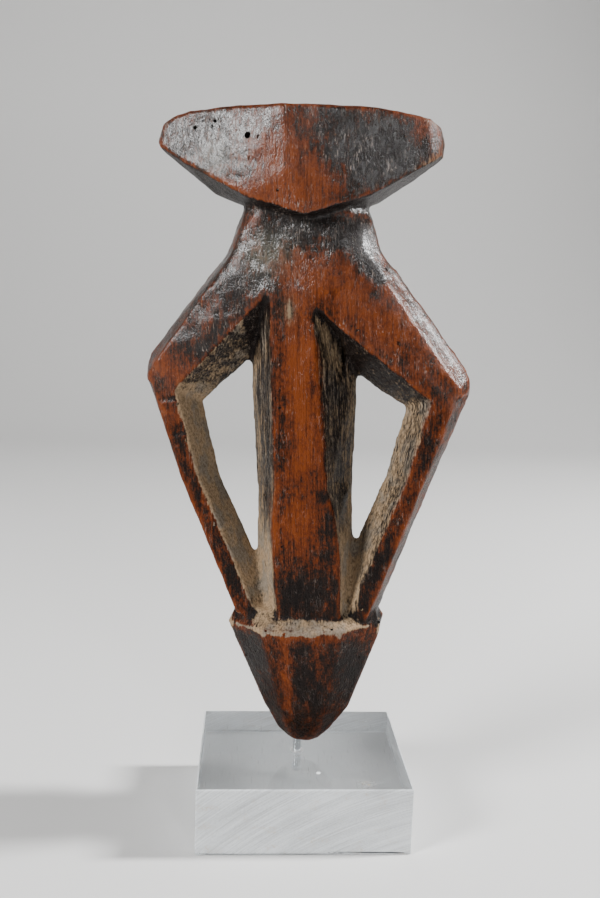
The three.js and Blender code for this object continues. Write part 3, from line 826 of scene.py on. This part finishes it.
relief = maths(tree, "MULTIPLY", grain, 0.5)
for part, weight in (
    (fine_grain, 0.25), (speckle, 0.9), (dabs, 0.5), (bare, -0.2), (scratched, -0.25), (dust_and_light_layer, 0.2),
):
    relief = maths(tree, "MULTIPLY_ADD", part, weight, relief)
raise_grain(tree, surface, relief, 0.9, 0.32)
varnish = maths(tree, "MULTIPLY", grain, 0.35)
for part, weight in ((speckle, 0.8), (dabs, 0.7)):
    varnish = maths(tree, "MULTIPLY_ADD", part, weight, varnish)
raise_grain(tree, surface, varnish, 0.7, 0.2, "Coat Normal")
print("wood finish:", len(tree.nodes), "nodes")

# %% [markdown]
# ## The clear block
# The block is cast acrylic sheet. Its two big faces keep the sheet's polish, while the four sides are as the
# saw left them: frosted by thousands of fine arcs. It is one solid with two finishes. The saw also breaks
# small chips out of the lower edges, and Geometry Nodes scatter those along the edge and cut them out. They
# lie on the bevel and never reach the underside, which has to stay one clean face: a clear solid shows every
# crease in a face that is no longer flat.

# %% Read the stand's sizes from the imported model
BLOCK_BEVEL = 0.45 * MM
FLAT_WITHIN = 0.02 * MM
LOOSE_FIT, HOLE_DEEPER, SEAT_DEEPER = 0.1 * MM, 0.3 * MM, 0.2 * MM
CHIP_INSET = 0.16 * MM
block_low, block_high = (Vector(corner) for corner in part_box("base_block"))
sleeve_low, sleeve_high = (Vector(corner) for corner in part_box("pin_sleeve"))
pin_low, pin_high = (Vector(corner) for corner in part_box("mount_pin"))
pin_radius = (pin_high.x - pin_low.x) / 2
flange_radius = (sleeve_high.x - sleeve_low.x) / 2
block_top = block_high.z
SLEEVE_RADIUS = pin_radius + 0.45 * MM
SEAT_RADIUS = SLEEVE_RADIUS + LOOSE_FIT
FLANGE_LIFT = 0.12 * MM
print("pin radius", round(pin_radius / MM, 2), "mm, flange radius", round(flange_radius / MM, 2), "mm")


# %% A lathe, and the tree that chips the block's edges
def lathe(name, profile, segments=72):
    """A closed body turned about the pin's axis from (radius, height) pairs. It starts and ends on the axis,
    unless its first pair is repeated at the end, which makes a ring."""
    form = bmesh.new()
    ring = profile[0] == profile[-1]
    outline = profile[:-1] if ring else profile
    angles = [2 * math.pi * i / segments for i in range(segments)]
    rows = []
    for radius, height in outline:
        if radius == 0.0:
            rows.append([form.verts.new((pin_axis.x, pin_axis.y, height))] * segments)
            continue
        rows.append([
            form.verts.new((pin_axis.x + radius * math.cos(a), pin_axis.y + radius * math.sin(a), height))
            for a in angles
        ])
    for below, above in zip(rows, rows[1:] + rows[:1] if ring else rows[1:]):
        for i in range(segments):
            j = (i + 1) % segments
            corners = [below[i], below[j], above[j], above[i]]
            form.faces.new(list(dict.fromkeys(corners)))
    bmesh.ops.recalc_face_normals(form, faces=form.faces)
    return piece_from(form, name)


def chip_tree():
    tree, given = new_geometry_tree("saw_chips", {
        "Width": ("NodeSocketFloat", 0.06),
        "Depth": ("NodeSocketFloat", 0.05),
        "Centre": ("NodeSocketVector", None),
        "Chips": ("NodeSocketInt", 120),
        "Chip radius": ("NodeSocketFloat", 0.0005),
        "Plastic": ("NodeSocketMaterial", None),
    })
    edge = {0: given["Width"], 1: given["Depth"]}
    edge = add(tree, "GeometryNodeCurvePrimitiveQuadrilateral", edge).outputs[0]
    edge = add(tree, "GeometryNodeTransform", {"Geometry": edge, "Translation": given["Centre"]}).outputs[0]
    spots = add(tree, "GeometryNodeCurveToPoints", {"Curve": edge, "Count": given["Chips"]}).outputs[0]
    wander = random_vector(tree, (-0.0002, -0.0002, 0.0), (0.0002, 0.0002, 0.0003), 5)
    spots = add(tree, "GeometryNodeSetPosition", {"Geometry": spots, "Offset": wander}).outputs[0]
    flake = ball(tree, given["Chip radius"])
    size = random_vector(tree, (0.4, 0.4, 0.3), (1.0, 1.0, 1.0), 9)
    turn = random_vector(tree, (0.0, 0.0, 0.0), (6.28, 6.28, 6.28), 2)
    cut_out(tree, given["Geometry"], spots, given["Plastic"], Instance=flake, Scale=size, Rotation=turn)
    return tree


# %% Make the block
form = bmesh.new()
middle = (block_low + block_high) / 2
size = block_high - block_low
bmesh.ops.create_cube(form, size=1.0, matrix=Matrix.Translation(middle) @ Matrix.Diagonal((*size, 1.0)))
bmesh.ops.bevel(form, geom=form.edges[:], offset=BLOCK_BEVEL, segments=2, profile=0.6, affect="EDGES")
block = piece_from(form, "clear_block")
inside = pin_radius + LOOSE_FIT
hole = lathe("hole", [
    (0.0, pin_low.z - HOLE_DEEPER), (inside, pin_low.z - HOLE_DEEPER),
    (inside, sleeve_low.z - HOLE_DEEPER), (SEAT_RADIUS, sleeve_low.z - SEAT_DEEPER),
    (SEAT_RADIUS, block_top + MM), (0.0, block_top + MM),
])
join_or_cut(block, hole, "DIFFERENCE")
polished = bpy.data.materials.new("acrylic_polished")
sawn = bpy.data.materials.new("acrylic_sawn")
use_tree(block, chip_tree(), Width=size.x - CHIP_INSET, Depth=size.y - CHIP_INSET,
         Centre=(middle.x, middle.y, block_low.z + BLOCK_BEVEL), Chips=300, Chip_radius=0.0004, Plastic=sawn)
settle(block)
block.data.materials.clear()
for finish in (sawn, polished):
    block.data.materials.append(finish)
top_or_bottom = 0
heights = mesh_points(block.data)[:, 2]
for face in block.data.polygons:
    corners = heights[list(face.vertices)]
    flat = min(abs(corners - block_low.z).max(), abs(corners - block_top).max()) < FLAT_WITHIN
    face.material_index = 1 if flat else 0
    top_or_bottom += flat
print("block:", triangles(block), "triangles,", top_or_bottom, "polished faces, open edges:",
      open_edges(block.data))

# %% [markdown]
# ## The pin and its sleeve
# The pin is drawn steel wire with a small bevel at each end. A thin turned sleeve lines the hole in the
# block, with a flange that shows as a bright ring round the pin. Both are round about the pin's axis, so one
# lathe makes them, with a small bevel wherever a real edge would be broken.

# %% Turn the pin and the sleeve
BREAK, PIN_BEVEL = 0.12 * MM, 0.3 * MM
pin = lathe("steel_pin", [
    (0.0, pin_low.z), (pin_radius - PIN_BEVEL, pin_low.z), (pin_radius, pin_low.z + PIN_BEVEL),
    (pin_radius, pin_high.z - PIN_BEVEL), (pin_radius - PIN_BEVEL, pin_high.z), (0.0, pin_high.z),
])
flange_bottom = block_top + FLANGE_LIFT
sleeve = lathe("turned_sleeve", [
    (inside, sleeve_low.z + BREAK), (inside + BREAK, sleeve_low.z), (SLEEVE_RADIUS - BREAK, sleeve_low.z),
    (SLEEVE_RADIUS, sleeve_low.z + BREAK), (SLEEVE_RADIUS, flange_bottom),
    (flange_radius - BREAK / 2, flange_bottom), (flange_radius, flange_bottom + BREAK / 2),
    (flange_radius, sleeve_high.z - BREAK),
    (flange_radius - BREAK / 3, sleeve_high.z - BREAK / 3), (flange_radius - BREAK, sleeve_high.z),
    (inside + BREAK, sleeve_high.z), (inside, sleeve_high.z - BREAK), (inside, sleeve_low.z + BREAK),
])
print("pin", triangles(pin), "and sleeve", triangles(sleeve), "triangles")

# %% [markdown]
# ## The stand's finishes
# Clear acrylic bends light with an index of 1.49. Its polished faces carry a veil of fine scratches and a
# little dust, which is the only reason that they can be seen. The sawn faces scatter light: a pale, rough
# skin that still lets some light through, marked by the saw's arcs. Steel and sleeve are metals whose
# roughness is stretched along the way they were drawn or turned.

# %% Write the polished faces
CHIP_ON_TOP, SMUDGE = (4.3, -15.6, block_top / MM), (17.8, -21.6, block_top / MM)
ACRYLIC_IOR = 1.49
tree, surface = new_material(polished)
place = millimetres(tree)
veil = noise_at(tree, place, (0.05, 0.05, 0.05), 4.0, 0.6)
specks = add(tree, "ShaderNodeTexVoronoi", {"Vector": place, "Scale": 0.8, "Randomness": 1.0})
speck_size = noise_at(tree, place, (0.12, 0.12, 0.12), 3.0, shift=(9, 2, 0))
speck_size = between(tree, speck_size, 0.45, 0.7, 0.0, 0.16)
speck = between(tree, maths(tree, "SUBTRACT", specks.outputs["Distance"], speck_size), 0.03, 0.0)
hair = None
for i, (tilt, long) in enumerate(((0.5, 0.12), (-0.9, 0.09), (1.9, 0.14))):
    streak = noise_at(tree, place, (2.6, long, 1.0), 1.0, 0.5, (0.0, 0.0, tilt), (i * 7.0, i * 3.0, 0.0))
    line = between(tree, streak, 0.7, 0.76)
    hair = line if hair is None else maths(tree, "MAXIMUM", hair, line)
smudge = between(tree, distance_from(tree, place, SMUDGE), 3.4, 0.4)
blotches = between(tree, noise_at(tree, place, (0.9, 0.9, 0.9), 4.0), 0.45, 0.65)
smudge = maths(tree, "MULTIPLY", smudge, blotches)
marks = ((hair, 0.22), (speck, 0.8), (smudge, 0.6))
marked = [maths(tree, "MULTIPLY", mark, weight) for mark, weight in marks]
chipped = between(tree, distance_from(tree, place, CHIP_ON_TOP), 0.8, 0.6)
cloudy = highest(tree, between(tree, veil, 0.4, 0.7, 0.015, 0.06), *marked, chipped)
tint = blend_colours(tree, smudge, colour(0.93, 0.95, 0.96), colour(0.5, 0.42, 0.3))
tree.links.new(tint, surface.inputs["Base Color"])
tree.links.new(maths(tree, "SUBTRACT", 1.0, cloudy), surface.inputs["Transmission Weight"])
tree.links.new(between(tree, veil, 0.35, 0.7, 0.03, 0.09), surface.inputs["Roughness"])
surface.inputs["IOR"].default_value = ACRYLIC_IOR
raise_grain(tree, surface, maths(tree, "MULTIPLY_ADD", hair, -0.6, speck), 0.3, 0.03)
print("polished finish:", len(tree.nodes), "nodes")

# %% Write the sawn faces
SAW_CENTRE = (90.0, 0.0, -110.0)
tree, surface = new_material(sawn)
place = millimetres(tree)
parts = add(tree, "ShaderNodeSeparateXYZ", {0: place})
across = maths(tree, "SUBTRACT", parts.outputs["X"], parts.outputs["Y"])
sweep = add(tree, "ShaderNodeCombineXYZ", {0: across, 2: parts.outputs["Z"]}).outputs[0]
from_saw = distance_from(tree, sweep, SAW_CENTRE)
ring = add(tree, "ShaderNodeCombineXYZ", {0: from_saw, 1: maths(tree, "MULTIPLY", across, 0.03)}).outputs[0]
arcs = noise_at(tree, ring, (2.3, 1.6, 1.0), 4.0, 0.65)
broad_arcs = noise_at(tree, ring, (0.35, 0.6, 1.0), 2.0, 0.5, shift=(4, 4, 4))
frost = noise_at(tree, place, (1.6, 1.6, 1.6), 3.0, 0.65)
clouds = noise_at(tree, place, (0.045, 0.045, 0.07), 3.0, 0.5, shift=(2, 5, 1))
scores = between(tree, noise_at(tree, ring, (3.2, 0.5, 1.0), 1.0, 0.5, shift=(8, 1, 3)), 0.66, 0.74)
shade = add_noises(tree, 0.82, ((arcs, 1.1), (broad_arcs, 0.34), (frost, 0.45), (clouds, 0.5)))
shade = maths(tree, "MINIMUM", maths(tree, "MULTIPLY_ADD", scores, 0.3, shade), 1.0)
pale = blend_colours(tree, 1.0, colour(0.9, 0.93, 0.95), shade, "MULTIPLY")
stained = between(tree, noise_at(tree, place, (0.16, 0.16, 0.3), 4.0, shift=(3, 3, 9)), 0.54, 0.68)
stained = maths(tree, "MULTIPLY", stained, between(tree, frost, 0.45, 0.62))
pale = blend_colours(tree, maths(tree, "MULTIPLY", stained, 0.55), pale, colour(0.5, 0.4, 0.28))
tree.links.new(pale, surface.inputs["Base Color"])
surface.inputs["Transmission Weight"].default_value = 0.22
surface.inputs["IOR"].default_value = ACRYLIC_IOR
tree.links.new(between(tree, arcs, 0.3, 0.7, 0.42, 0.62), surface.inputs["Roughness"])
raise_grain(tree, surface, maths(tree, "MULTIPLY_ADD", frost, 0.5, arcs), 0.5, 0.08)
print("sawn finish:", len(tree.nodes), "nodes")

# %% Write the two metals
def metal(name, tint, dull_low, dull_high, scale):
    material = bpy.data.materials.new(name)
    tree, surface = new_material(material)
    marks = noise_at(tree, millimetres(tree), scale, 3.0, 0.6)
    surface.inputs["Base Color"].default_value = tint
    surface.inputs["Metallic"].default_value = 1.0
    tree.links.new(between(tree, marks, 0.3, 0.7, dull_low, dull_high), surface.inputs["Roughness"])
    raise_grain(tree, surface, marks, 0.25, 0.02)
    return material


pin.data.materials.append(metal("drawn_steel", colour(0.8, 0.82, 0.84), 0.14, 0.24, (9.0, 9.0, 0.5)))
sleeve.data.materials.append(metal("turned_metal", colour(0.96, 0.96, 0.96), 0.3, 0.42, (0.8, 0.8, 9.0)))
print("metals:", pin.data.materials[0].name, "and", sleeve.data.materials[0].name)

# %% [markdown]
# ## The studio
# The floor is a pale sheet that curves up behind the doll, so no edge shows. The main light is a soft box
# high on the left, in front: it gives the sheen on the head and the left shoulder. A narrow one stands high
# on the right, beside the doll and not in front of it, and draws the bright line down the right arm. These
# two stand where their reflection in the plane that should shine meets the eye. A weak one in front keeps
# the shadows open.

# %% Lay the floor and set the lights
SWEEP_RADIUS, SWEEP_BACK, SWEEP_FRONT, SWEEP_HALF, SWEEP_HEIGHT = 0.5, 0.75, -1.6, 2.2, 2.4
SWEEP_STEPS = 16
FLOOR_GAP = 0.05 * MM
section = [(SWEEP_FRONT, 0.0), (SWEEP_BACK, 0.0)]
for step in range(1, SWEEP_STEPS + 1):
    angle = math.pi / 2 * step / SWEEP_STEPS
    section.append((SWEEP_BACK + SWEEP_RADIUS * math.sin(angle), SWEEP_RADIUS * (1 - math.cos(angle))))
section.append((SWEEP_BACK + SWEEP_RADIUS, SWEEP_HEIGHT))
corners, faces = [], []
for along, up in section:
    corners += [(-SWEEP_HALF, along, up - FLOOR_GAP), (SWEEP_HALF, along, up - FLOOR_GAP)]
for i in range(len(section) - 1):
    faces.append((2 * i, 2 * i + 1, 2 * i + 3, 2 * i + 2))
floor_mesh = bpy.data.meshes.new("floor")
floor_mesh.from_pydata(corners, [], faces)
for face in floor_mesh.polygons:
    face.use_smooth = True
floor = new_piece("floor", floor_mesh)
paper = bpy.data.materials.new("pale_paper")
tree, surface = new_material(paper)
surface.inputs["Base Color"].default_value = colour(0.74, 0.735, 0.725)
surface.inputs["Roughness"].default_value = 0.85
surface.inputs["Specular IOR Level"].default_value = 0.2
floor.data.materials.append(paper)


def soft_box(name, at, aim, wide, high, power):
    lamp = bpy.data.lights.new(name, "AREA")
    lamp.shape = "RECTANGLE"
    lamp.size, lamp.size_y = wide, high
    lamp.energy = power
    holder = bpy.data.objects.new(name, lamp)
    bpy.context.collection.objects.link(holder)
    way = Vector(aim) - Vector(at)
    holder.matrix_world = Matrix.Translation(Vector(at)) @ way.to_track_quat("-Z", "Y").to_matrix().to_4x4()
    print(name, round(way.length, 2), "m away,", power, "W")


soft_box("key_light", (-0.86, -0.52, 0.62), (0, 0, 0.14), 0.3, 0.3, 17.0)
soft_box("right_light", (0.78, 0.02, 0.64), (0, 0, 0.14), 0.09, 0.26, 21.0)
soft_box("front_light", (0.3, -0.9, 0.62), (0, 0, 0.18), 0.14, 0.14, 1.8)
world = bpy.data.worlds.new("room")
world.use_nodes = True
ROOM_LIGHT = 0.04
backdrop = world.node_tree.nodes["Background"]
backdrop.inputs["Color"].default_value = colour(1.0, 0.98, 0.95)
backdrop.inputs["Strength"].default_value = ROOM_LIGHT
bpy.context.scene.world = world

# %% [markdown]
# ## Putting the pieces on the model
# Each visible piece takes the place of one imported solid and rides on that solid's body, so it moves when the
# doll turns on its pin or lifts off it.

# %% Smooth the faces by their finish, and tie each piece to its body
SHARP_FROM = {"carved_wood": 60, "pin_steel": 30, "sleeve_metal": 30, "clear_acrylic": 12}
for piece, node, body, slot in (
    (doll, "doll", "doll", "carved_wood"),
    (pin, "mount_pin", "pin", "pin_steel"),
    (sleeve, "pin_sleeve", "base", "sleeve_metal"),
    (block, "base_block", "base", "clear_acrylic"),
):
    piece.data.shade_smooth()
    piece.data.set_sharp_from_angle(angle=math.radians(SHARP_FROM[slot]))
    if piece is block:
        for face in piece.data.polygons:
            face.use_smooth = face.material_index == 0
    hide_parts(node)
    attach(piece, body)
    print(piece.name, triangles(piece), "triangles")
